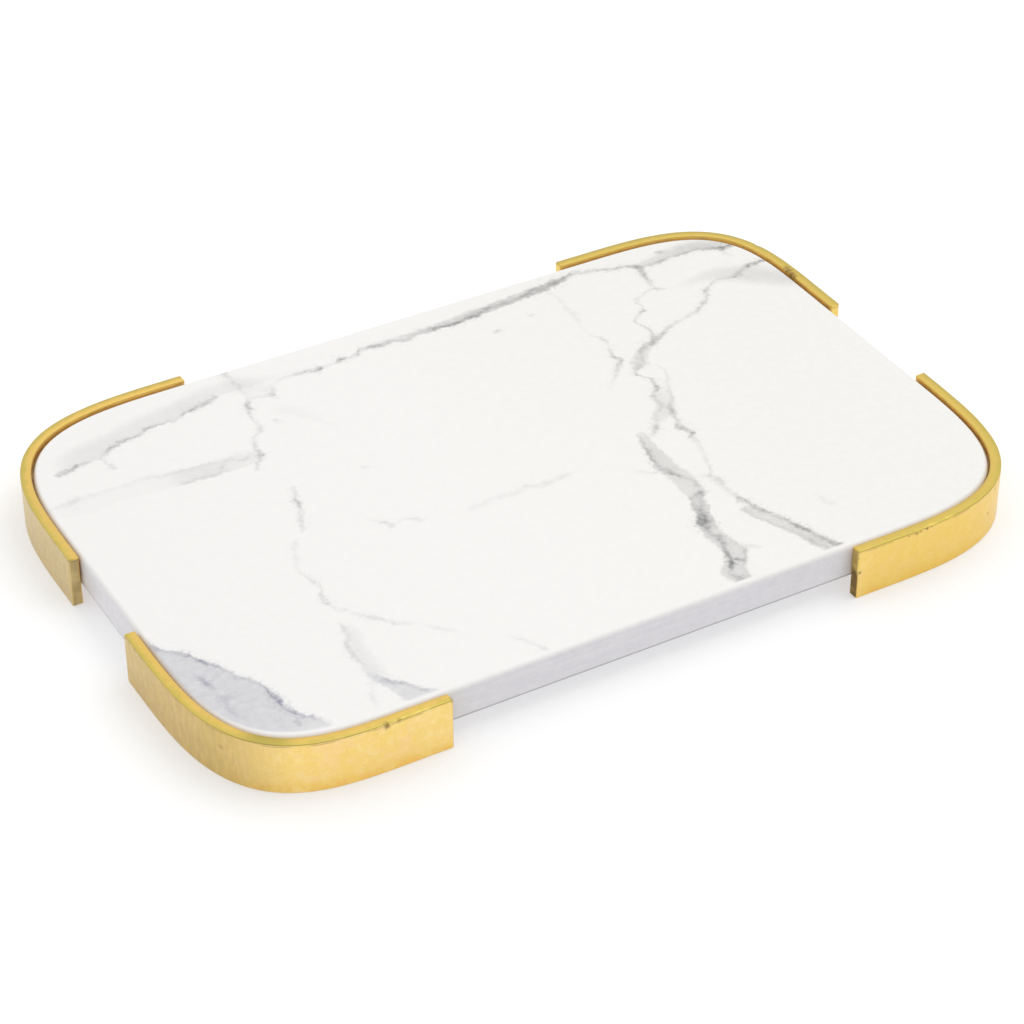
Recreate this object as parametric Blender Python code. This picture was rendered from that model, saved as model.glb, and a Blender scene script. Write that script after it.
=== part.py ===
"""Dresser vanity tray: a marble slab carried at its corners by four bent brass bands.

Metres, +Z up. The origin is on the surface that the tray stands on, under the middle of the tray.
+X runs along the long edge and +Y towards the back.
"""

import math

import bmesh
import bpy

# Overall size of the tray, measured over the outside of the brass bands.
TRAY_LENGTH = 0.305
TRAY_WIDTH = 0.205

# Brass flat bar, standing on edge. It is foot and rim at once.
BAR_HEIGHT = 0.019
BAR_THICKNESS = 0.0038
BAR_BROKEN_EDGE = 0.0003

# Marble slab, held between the bands and clear of the surface below it.
SLAB_THICKNESS = 0.012
SLAB_BELOW_RIM = 0.0004
SLAB_TOP_EASING = 0.0018
SLAB_BOTTOM_EASING = 0.0007
EASING_STEPS = 4

# Adhesive bed between each band and the slab's edge.
FACE_GAP = 0.0002
BED_THICKNESS = 0.0002
BED_SHORT_OF_BAND_END = 0.004
BED_CLEAR_OF_EASING = 0.0006

# The corner bend: |x / reach_x|^n + |y / reach_y|^n = 1, a squared-off curve that runs out into
# straight arms.
CORNER_EXPONENT = 3.4
CORNER_STEPS = 22

# Hand-bent bands, so each differs a little. side says which corner; reach is how far the bend runs
# back along each edge; the arms are measured from the outside of the corner.
BANDS = {
    "front_left": {"side": (-1, -1), "reach": (0.061, 0.076), "arm": (0.074, 0.080)},
    "front_right": {"side": (1, -1), "reach": (0.073, 0.075), "arm": (0.081, 0.076)},
    "rear_right": {"side": (1, 1), "reach": (0.066, 0.062), "arm": (0.075, 0.077)},
    "rear_left": {"side": (-1, 1), "reach": (0.076, 0.075), "arm": (0.077, 0.081)},
}

SLAB_TOP = BAR_HEIGHT - SLAB_BELOW_RIM
SLAB_UNDERSIDE = SLAB_TOP - SLAB_THICKNESS
BED_INSET = BAR_THICKNESS + FACE_GAP
SLAB_INSET = BED_INSET + BED_THICKNESS + FACE_GAP

WELD_DISTANCE = 0.00001
SHARP_ANGLE = math.radians(40)
FLAT_ANGLE = math.radians(0.05)


def clear_scene():
    for obj in list(bpy.data.objects):
        bpy.data.objects.remove(obj)


def new_collection(name):
    collection = bpy.data.collections.new(name)
    bpy.context.scene.collection.children.link(collection)
    return collection


def principled_material(name, colour, roughness, metallic):
    material = bpy.data.materials.new(name)
    material.use_nodes = True
    shader = material.node_tree.nodes["Principled BSDF"]
    shader.inputs["Base Color"].default_value = (*colour, 1.0)
    shader.inputs["Roughness"].default_value = roughness
    shader.inputs["Metallic"].default_value = metallic
    return material


def bend_points(reach, inset):
    """The corner bend, from the end on the short edge to the end on the long edge.

    Measured back from the outside of the corner, so both coordinates are zero or less. The points
    follow the angle of the outward normal, so a curve inset by any amount stays parallel.
    """
    reach_x, reach_y = reach
    power = 1.0 / (CORNER_EXPONENT - 1.0)
    points = []
    for step in range(CORNER_STEPS + 1):
        angle = 0.5 * math.pi * math.sin(0.5 * math.pi * step / CORNER_STEPS) ** 2
        across = (reach_x * math.cos(angle)) ** power if step < CORNER_STEPS else 0.0
        along = (reach_y * math.sin(angle)) ** power
        span = (across**CORNER_EXPONENT + along**CORNER_EXPONENT) ** (1.0 / CORNER_EXPONENT)
        x = reach_x * (across / span - 1.0) - inset * math.cos(angle)
        y = reach_y * (along / span - 1.0) - inset * math.sin(angle)
        points.append((x, y))
    return points


def strip_outline(band, outer_inset, inner_inset, short_of_end):
    """Plan of a strip that follows one corner, in the corner's own frame."""
    side_x, side_y = band["side"]
    arm_x, arm_y = (arm - short_of_end for arm in band["arm"])
    outer = bend_points(band["reach"], outer_inset)
    inner = bend_points(band["reach"], inner_inset)
    outer = [(-outer_inset, -arm_y), *outer, (-arm_x, -outer_inset)]
    inner = [(-inner_inset, -arm_y), *inner, (-arm_x, -inner_inset)]
    outline = outer + inner[::-1]
    return [(side_x * x, side_y * y) for x, y in outline]


def slab_outline():
    """Plan of the slab: the four inset bends, joined by straight edges."""
    outline = []
    for band in BANDS.values():
        side_x, side_y = band["side"]
        corner_x, corner_y = corner_of(band)
        bend = bend_points(band["reach"], SLAB_INSET)
        if side_x * side_y < 0:
            bend.reverse()
        outline += [(corner_x + side_x * x, corner_y + side_y * y) for x, y in bend]
    return outline


def corner_of(band):
    side_x, side_y = band["side"]
    return side_x * TRAY_LENGTH / 2, side_y * TRAY_WIDTH / 2


def plate(name, outline, thickness, location, collection):
    """A flat outline given its thickness. It rises from the object's origin."""
    curve = bpy.data.curves.new(name, "CURVE")
    curve.dimensions = "2D"
    curve.fill_mode = "BOTH"
    curve.extrude = thickness / 2
    spline = curve.splines.new("POLY")
    spline.points.add(len(outline) - 1)
    for point, (x, y) in zip(spline.points, outline):
        point.co = (x, y, 0.0, 1.0)
    spline.use_cyclic_u = True

    guide = bpy.data.objects.new(name + "_outline", curve)
    collection.objects.link(guide)
    graph = bpy.context.evaluated_depsgraph_get()
    mesh = bpy.data.meshes.new_from_object(guide.evaluated_get(graph))
    bpy.data.objects.remove(guide)
    mesh.name = name

    shape = bmesh.new()
    shape.from_mesh(mesh)
    bmesh.ops.translate(shape, verts=shape.verts, vec=(0.0, 0.0, thickness / 2))
    bmesh.ops.remove_doubles(shape, verts=shape.verts, dist=WELD_DISTANCE)
    bmesh.ops.dissolve_limit(
        shape, angle_limit=FLAT_ANGLE, verts=shape.verts, edges=shape.edges
    )
    bmesh.ops.recalc_face_normals(shape, faces=shape.faces)
    shape.to_mesh(mesh)
    shape.free()

    obj = bpy.data.objects.new(name, mesh)
    obj.location = location
    collection.objects.link(obj)
    return obj


def bevel_edges(obj, width, segments, wanted):
    shape = bmesh.new()
    shape.from_mesh(obj.data)
    edges = [edge for edge in shape.edges if wanted(edge)]
    bmesh.ops.bevel(
        shape,
        geom=edges,
        offset=width,
        offset_type="OFFSET",
        segments=segments,
        profile=0.5,
        affect="EDGES",
        clamp_overlap=True,
    )
    shape.to_mesh(obj.data)
    shape.free()


def is_sharp(edge):
    return len(edge.link_faces) == 2 and edge.calc_face_angle() > SHARP_ANGLE


def is_rim_at(height):
    """Picks the edges that run round a plate at this height above its origin."""

    def test(edge):
        return is_sharp(edge) and all(abs(vert.co.z - height) < WELD_DISTANCE for vert in edge.verts)

    return test


def finish(obj, material, parent):
    obj.data.materials.clear()
    obj.data.materials.append(material)
    obj.data.shade_smooth()
    obj.data.set_sharp_from_angle(angle=math.radians(30))
    obj.parent = parent
    return obj


def make_slab(collection, material, parent):
    location = (0.0, 0.0, SLAB_UNDERSIDE)
    slab = plate("marble_slab", slab_outline(), SLAB_THICKNESS, location, collection)
    bevel_edges(slab, SLAB_BOTTOM_EASING, 1, is_rim_at(0.0))
    bevel_edges(slab, SLAB_TOP_EASING, EASING_STEPS, is_rim_at(SLAB_THICKNESS))
    return finish(slab, material, parent)


def make_band(name, band, collection, material, parent):
    outline = strip_outline(band, 0.0, BAR_THICKNESS, 0.0)
    location = (*corner_of(band), 0.0)
    bar = plate("brass_band_" + name, outline, BAR_HEIGHT, location, collection)
    bevel_edges(bar, BAR_BROKEN_EDGE, 1, is_sharp)
    return finish(bar, material, parent)


def make_bed(name, band, collection, material, parent):
    """The thin bed of adhesive, behind the band and clear of the slab's eased edges."""
    low = SLAB_UNDERSIDE + SLAB_BOTTOM_EASING + BED_CLEAR_OF_EASING
    high = SLAB_TOP - SLAB_TOP_EASING - BED_CLEAR_OF_EASING
    outline = strip_outline(band, BED_INSET, BED_INSET + BED_THICKNESS, BED_SHORT_OF_BAND_END)
    location = (*corner_of(band), low)
    bed = plate("adhesive_bed_" + name, outline, high - low, location, collection)
    return finish(bed, material, parent)


def main():
    clear_scene()
    parts = new_collection("dresser_vanity_tray")
    marble = principled_material("white_marble", (0.91, 0.91, 0.90), 0.22, 0.0)
    brass = principled_material("raw_brass", (0.86, 0.60, 0.22), 0.38, 1.0)
    adhesive = principled_material("epoxy_adhesive", (0.72, 0.68, 0.58), 0.45, 0.0)

    centre = bpy.data.objects.new("tray_centre", None)
    parts.objects.link(centre)

    make_slab(parts, marble, centre)
    for name, band in BANDS.items():
        make_band(name, band, parts, brass, centre)
        make_bed(name, band, parts, adhesive, centre)


main()
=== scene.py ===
"""Looks of the dresser vanity tray: a veined marble slab carried by four bent brass corner bands.

Metres, +Z up, +X along the long edge, +Y to the back. The frame gives where the pieces are and how big.
The bends and the bar's thickness repeat the CAD's values. Veins and marks are given in
millimetres from the middle of the tray.
"""

import math

import bmesh
import bpy
from mathutils import Matrix, Vector, noise


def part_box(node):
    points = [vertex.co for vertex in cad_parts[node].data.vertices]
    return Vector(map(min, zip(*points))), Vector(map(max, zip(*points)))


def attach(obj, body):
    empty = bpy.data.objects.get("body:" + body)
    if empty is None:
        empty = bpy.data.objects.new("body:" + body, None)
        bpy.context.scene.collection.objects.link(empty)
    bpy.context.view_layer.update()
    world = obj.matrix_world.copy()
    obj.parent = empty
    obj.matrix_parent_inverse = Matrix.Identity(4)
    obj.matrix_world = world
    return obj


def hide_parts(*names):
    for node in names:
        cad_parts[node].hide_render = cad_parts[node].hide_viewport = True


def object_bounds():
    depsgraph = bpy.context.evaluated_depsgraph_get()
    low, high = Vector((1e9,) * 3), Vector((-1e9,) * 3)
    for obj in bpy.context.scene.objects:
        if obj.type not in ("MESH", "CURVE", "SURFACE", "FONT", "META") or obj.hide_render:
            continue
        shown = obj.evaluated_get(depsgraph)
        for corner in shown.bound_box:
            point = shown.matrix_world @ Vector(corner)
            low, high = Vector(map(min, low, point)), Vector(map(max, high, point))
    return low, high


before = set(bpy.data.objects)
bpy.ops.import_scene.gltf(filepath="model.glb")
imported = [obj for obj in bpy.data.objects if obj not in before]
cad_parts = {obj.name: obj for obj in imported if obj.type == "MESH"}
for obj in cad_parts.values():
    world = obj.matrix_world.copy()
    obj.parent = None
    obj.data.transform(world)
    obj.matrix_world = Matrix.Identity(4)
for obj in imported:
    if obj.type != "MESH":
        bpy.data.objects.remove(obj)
cad_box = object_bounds()

MM = 0.001

# Which way each corner faces, and how far its bend runs back along x and y, as in the CAD.
CORNERS = {
    "front_left": {"side": (-1, -1), "reach": (0.061, 0.076)},
    "front_right": {"side": (1, -1), "reach": (0.073, 0.075)},
    "rear_right": {"side": (1, 1), "reach": (0.066, 0.062)},
    "rear_left": {"side": (-1, 1), "reach": (0.076, 0.075)},
}
CORNER_EXPONENT = 3.4
BAR_THICKNESS = 0.0038

TRAY_LOW = Vector(cad_box[0])
TRAY_HIGH = Vector(cad_box[1])
SLAB_LOW, SLAB_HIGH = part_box("marble_slab")
SLAB_INSET = TRAY_HIGH.x - SLAB_HIGH.x

# The slab's eased edges.
TOP_EASING = 0.0016
TOP_DROP = 0.0024
BOTTOM_EASING = 0.0007
# Veins stop this far inside the slab's edge, and further still along the front.
BARE_MARGIN = 0.0007
BARE_MARGIN_IN_FRONT = 0.0021

# The bar's rounded edge, how far its faces waver, a nick's width, and the gap between sections.
BAR_EDGE = 0.00045
BAR_WAVER = 0.00005
NICK_BITE = 0.0007
BAND_SPACING = 0.0009

# How far the bead stands past the CAD's bed, its hollow, its change in height, and the gap between sections.
BEAD_PROUD = 0.0003
BEAD_HOLLOW = 0.0002
BEAD_SAG = 0.0004
BEAD_SPACING = 0.0015


# ---------------------------------------------------------------- outline of the tray

def bend_point(reach, angle):
    """A point of the corner bend and its outward normal, from the outside of the corner."""
    reach_x, reach_y = reach
    power = 1.0 / (CORNER_EXPONENT - 1.0)
    across = (reach_x * max(math.cos(angle), 0.0)) ** power
    along = (reach_y * max(math.sin(angle), 0.0)) ** power
    span = (across**CORNER_EXPONENT + along**CORNER_EXPONENT) ** (1.0 / CORNER_EXPONENT)
    place = Vector((reach_x * (across / span - 1.0), reach_y * (along / span - 1.0)))
    return place, Vector((math.cos(angle), math.sin(angle)))


def bend_angle(share):
    """Eases in and out, because the bend is tight in the middle and nearly straight at its ends."""
    return 0.5 * math.pi * math.sin(0.5 * math.pi * share) ** 2


def resampled(path, spacing):
    """Points and normals along a path, evenly spaced, with the distance run at each."""
    runs = [0.0]
    for (a, _), (b, _) in zip(path, path[1:]):
        runs.append(runs[-1] + (b - a).length)
    count = max(2, round(runs[-1] / spacing))
    samples = []
    segment = 0
    for step in range(count + 1):
        target = runs[-1] * step / count
        while segment < len(path) - 2 and runs[segment + 1] < target:
            segment += 1
        share = (target - runs[segment]) / max(runs[segment + 1] - runs[segment], 1e-12)
        share = min(max(share, 0.0), 1.0)
        place = path[segment][0].lerp(path[segment + 1][0], share)
        normal = path[segment][1].lerp(path[segment + 1][1], share).normalized()
        samples.append((place, normal, target))
    return samples


def band_path(corner, arm_x, arm_y, spacing):
    """Along the outside of a band, from its end on the short edge to its end on the long edge."""
    steps = 400
    path = [(Vector((0.0, -arm_y)), Vector((1.0, 0.0)))]
    path += [bend_point(corner["reach"], bend_angle(step / steps)) for step in range(steps + 1)]
    path.append((Vector((-arm_x, 0.0)), Vector((0.0, 1.0))))
    return resampled(path, spacing)


def on_tray(corner, place):
    """From a corner's own frame to the tray's."""
    side_x, side_y = corner["side"]
    corner_x = TRAY_HIGH.x if side_x > 0 else TRAY_LOW.x
    corner_y = TRAY_HIGH.y if side_y > 0 else TRAY_LOW.y
    return Vector((corner_x + side_x * place.x, corner_y + side_y * place.y))


def slab_path(steps):
    """Round the whole outline of the tray: places and outward normals."""
    path = []
    for corner in CORNERS.values():
        bend = [bend_point(corner["reach"], bend_angle(step / steps)) for step in range(steps + 1)]
        side_x, side_y = corner["side"]
        if side_x * side_y < 0:
            bend.reverse()
        for place, normal in bend:
            outward = Vector((side_x * normal.x, side_y * normal.y))
            path.append((on_tray(corner, place), outward))
    return path


# ---------------------------------------------------------------- meshes

def object_from(shape, name, material, smooth_angle):
    bmesh.ops.recalc_face_normals(shape, faces=shape.faces)
    mesh = bpy.data.meshes.new(name)
    shape.to_mesh(mesh)
    shape.free()
    mesh.shade_smooth()
    mesh.set_sharp_from_angle(angle=math.radians(smooth_angle))
    mesh.materials.append(material)
    obj = bpy.data.objects.new(name, mesh)
    bpy.context.scene.collection.objects.link(obj)
    return obj


def arc(centre, radius, start, end, steps):
    """Points of an arc, angles in degrees."""
    points = []
    for step in range(steps + 1):
        angle = math.radians(start + (end - start) * step / steps)
        points.append((centre[0] + radius * math.cos(angle), centre[1] + radius * math.sin(angle)))
    return points


def corner_seed(corner):
    """A number that differs from corner to corner, for the noise on its band and bead."""
    return 1000 * (corner["reach"][0] + 3 * corner["reach"][1])


def bridge(shape, rings):
    """Faces between each ring of vertices and the next, and one over each end."""
    count = len(rings[0])
    for first, second in zip(rings, rings[1:]):
        for index in range(count):
            after = (index + 1) % count
            shape.faces.new((first[index], first[after], second[after], second[index]))
    shape.faces.new(rings[0][::-1])
    shape.faces.new(rings[-1])


def make_slab(material):
    """The slab: its edge profile carried round the outline, closed by a flat face above and below."""
    low, high = SLAB_LOW.z, SLAB_HIGH.z
    # Each profile point is (inset from the slab's edge, height).
    profile = [(BOTTOM_EASING * 3.0, low)]
    below = arc((0, 0), BOTTOM_EASING, 90, 0, 3)
    profile += [(BOTTOM_EASING - x, low + BOTTOM_EASING - y) for x, y in below]
    side_top = len(profile)
    above = arc((0, 0), 1.0, 0, 90, 10)
    profile += [(TOP_EASING * (1.0 - x), high - TOP_DROP * (1.0 - y)) for x, y in above]
    profile += [(inset * MM, high) for inset in (2.2, 3.0, 4.0, 5.0)]
    path = slab_path(40)
    shape = bmesh.new()
    # How far inside the bare margin a point of the top face is.
    margin_layer = shape.verts.layers.float.new("inside_margin")
    rings = []
    for number, (inset, height) in enumerate(profile):
        ring = []
        for place, normal in path:
            spot = place - normal * (SLAB_INSET + inset)
            vert = shape.verts.new((spot.x, spot.y, height))
            margin = BARE_MARGIN + BARE_MARGIN_IN_FRONT * max(-normal.y, 0.0)
            vert[margin_layer] = (inset if number > side_top else 0.0) - margin
            ring.append(vert)
        rings.append(ring)
    bridge(shape, rings)
    return object_from(shape, "veined_marble_slab", material, 35)


def bar_section(thickness, height, edge):
    """Section of the flat bar as (inset, height) points, with its faces divided for the waver."""
    rows = 14
    section = []
    for row in range(rows + 1):
        section.append((0.0, edge + (height - 2 * edge) * row / rows))
    section += [(edge - x, height - edge + y) for x, y in arc((0, 0), edge, 0, 90, 3)][1:-1]
    section += [(edge, height), (thickness / 2, height), (thickness - edge, height)]
    section += [(thickness - edge + x, height - edge + y) for x, y in arc((0, 0), edge, 90, 0, 3)][1:-1]
    for row in range(rows + 1):
        section.append((thickness, height - edge - (height - 2 * edge) * row / rows))
    section += [(thickness - edge + x, edge - y) for x, y in arc((0, 0), edge, 0, 90, 3)][1:-1]
    section += [(thickness - edge, 0.0), (thickness / 2, 0.0), (edge, 0.0)]
    section += [(edge - x, edge - y) for x, y in arc((0, 0), edge, 90, 0, 3)][1:-1]
    return section


def bar_stations(path, end_shade):
    """Places along a bar, as (place, normal, run, drawn in, painted end shade). Each cut end has a broken
    edge.
    """

    def cut_end(station, direction, painted_end_shade):
        place, normal, run = station
        along = Vector((-normal.y, normal.x)) * direction
        return [(place, normal, run, BAR_EDGE, painted_end_shade), (place + along * BAR_EDGE, normal, run, 0.0, 0.0)]

    between = [(place, normal, run, 0.0, 0.0) for place, normal, run in path[1:-1]]
    return cut_end(path[0], 1.0, end_shade[0]) + between + cut_end(path[-1], -1.0, end_shade[1])[::-1]


def worn(inset, z, run, drawn_in, height, nicks, seed):
    """A point of the bar's section after its slight waver and its nicks, as (inset, height)."""
    new_inset = min(max(inset, drawn_in), BAR_THICKNESS - drawn_in)
    new_z = min(max(z, drawn_in), height - drawn_in)
    waver = noise.noise(Vector((run * 90, z * 120, seed))) + 1.0
    new_inset += BAR_WAVER * waver * (1.0 - new_inset / BAR_THICKNESS)
    from_edge = math.hypot(height - z, inset)
    for at, depth, half_length in nicks:
        bite = depth * math.exp(-(((run - at) / half_length) ** 2) - (from_edge / NICK_BITE) ** 2)
        new_z -= bite
        new_inset += 0.6 * bite
    return new_inset, new_z


def make_band(name, corner, wear_and_end_shade, material):
    """A bar bent round its corner. Its faces waver a little, and its upper edge has a few small nicks."""
    nicks, end_shade = wear_and_end_shade
    low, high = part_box("brass_band_" + name)
    height = high.z - low.z
    seed = corner_seed(corner)
    path = band_path(corner, high.x - low.x, high.y - low.y, BAND_SPACING)
    section = bar_section(BAR_THICKNESS, height, BAR_EDGE)
    shape = bmesh.new()
    place_layer = shape.verts.layers.float_vector.new("bar_place")
    end_shade_layer = shape.verts.layers.float.new("end_shade")
    rings = []
    for place, normal, run, drawn_in, painted_end_shade in bar_stations(path, end_shade):
        ring = []
        for inset, z in section:
            new_inset, new_z = worn(inset, z, run, drawn_in, height, nicks, seed)
            world = on_tray(corner, place - normal * new_inset)
            vert = shape.verts.new((world.x, world.y, low.z + new_z))
            vert[place_layer] = (run, z, inset)
            vert[end_shade_layer] = painted_end_shade
            ring.append(vert)
        rings.append(ring)
    bridge(shape, rings)
    return object_from(shape, "raw_brass_band_" + name, material, 30)


def make_bead(name, corner, material):
    """The adhesive in the joint between a band and the slab, up to the foot of the slab's eased edge."""
    bed_low, bed_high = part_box("adhesive_bed_" + name)
    arm_x = bed_high.x - bed_low.x + BAR_THICKNESS
    arm_y = bed_high.y - bed_low.y + BAR_THICKNESS
    seed = corner_seed(corner)
    path = band_path(corner, arm_x, arm_y, BEAD_SPACING)
    near, far = BAR_THICKNESS, SLAB_INSET
    middle = (near + far) / 2
    shape = bmesh.new()
    rings = []
    for place, normal, run in path:
        sag = BEAD_SAG * noise.noise(Vector((run * 160, 3.0, seed)))
        top = bed_high.z + BEAD_PROUD + sag
        bottom = bed_low.z - BEAD_PROUD + sag * 0.5
        section = [(near, bottom), (near, top), (middle, top - BEAD_HOLLOW)]
        section += [(far, top), (far, bottom), (middle, bottom + BEAD_HOLLOW)]
        ring = []
        for inset, z in section:
            world = on_tray(corner, place - normal * inset)
            ring.append(shape.verts.new((world.x, world.y, z)))
        rings.append(ring)
    bridge(shape, rings)
    return object_from(shape, "epoxy_bead_" + name, material, 40)


# ---------------------------------------------------------------- node helper

class Nodes:
    """Adds nodes to a material or world. A socket or a plain value can be given to each call."""

    def __init__(self, owner):
        owner.use_nodes = True
        self.owner = owner
        self.tree = owner.node_tree
        self.shader = self.tree.nodes.get("Principled BSDF")

    def add(self, kind, **settings):
        node = self.tree.nodes.new(kind)
        for key, value in settings.items():
            setattr(node, key, value)
        return node

    def feed(self, socket, value):
        if isinstance(value, bpy.types.NodeSocket):
            self.tree.links.new(value, socket)
        else:
            socket.default_value = value

    def math(self, operation, *values, clamp=False):
        node = self.add("ShaderNodeMath", operation=operation, use_clamp=clamp)
        for socket, value in zip(node.inputs, values):
            self.feed(socket, value)
        return node.outputs[0]

    def vector(self, operation, *values):
        node = self.add("ShaderNodeVectorMath", operation=operation)
        for socket, value in zip(node.inputs, values):
            self.feed(socket, value)
        return node.outputs["Value" if operation == "DOT_PRODUCT" else "Vector"]

    def scaled(self, vector, factor):
        node = self.add("ShaderNodeVectorMath", operation="SCALE")
        self.feed(node.inputs[0], vector)
        node.inputs["Scale"].default_value = factor
        return node.outputs["Vector"]

    def noise(self, vector, scale, detail=2.0, roughness=0.5, colour=False):
        node = self.add("ShaderNodeTexNoise")
        self.feed(node.inputs["Vector"], vector)
        node.inputs["Scale"].default_value = scale
        node.inputs["Detail"].default_value = detail
        node.inputs["Roughness"].default_value = roughness
        return node.outputs[1 if colour else 0]

    def remap(self, value, low, high, to_low=0.0, to_high=1.0, smooth=True):
        node = self.add("ShaderNodeMapRange")
        if smooth:
            node.interpolation_type = "SMOOTHSTEP"
        self.feed(node.inputs["Value"], value)
        limits = {"From Min": low, "From Max": high, "To Min": to_low, "To Max": to_high}
        for key, number in limits.items():
            node.inputs[key].default_value = number
        return node.outputs[0]

    def curve(self, value, points):
        """A float curve through (0 to 1, 0 to 1) points."""
        node = self.add("ShaderNodeFloatCurve")
        node.mapping.extend = "HORIZONTAL"
        line = node.mapping.curves[0]
        line.points[0].location = points[0]
        line.points[1].location = points[-1]
        for point in points[1:-1]:
            line.points.new(*point)
        for point in line.points:
            point.handle_type = "AUTO_CLAMPED"
        node.mapping.update()
        self.feed(node.inputs["Value"], value)
        return node.outputs[0]

    def mix(self, share, first, second):
        node = self.add("ShaderNodeMix", data_type="RGBA")
        self.feed(node.inputs[0], share)
        self.feed(node.inputs[6], first)
        self.feed(node.inputs[7], second)
        return node.outputs[2]

    def object_place(self):
        return self.add("ShaderNodeTexCoord").outputs["Object"]

    def height_of(self, vector):
        node = self.add("ShaderNodeSeparateXYZ")
        self.feed(node.inputs[0], vector)
        return node.outputs["Z"]

    def bump(self, height, strength, distance, normal=None):
        node = self.add("ShaderNodeBump")
        self.feed(node.inputs["Height"], height)
        node.inputs["Strength"].default_value = strength
        node.inputs["Distance"].default_value = distance
        if normal is not None:
            self.feed(node.inputs["Normal"], normal)
        return node.outputs[0]


# ---------------------------------------------------------------- marble

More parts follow.
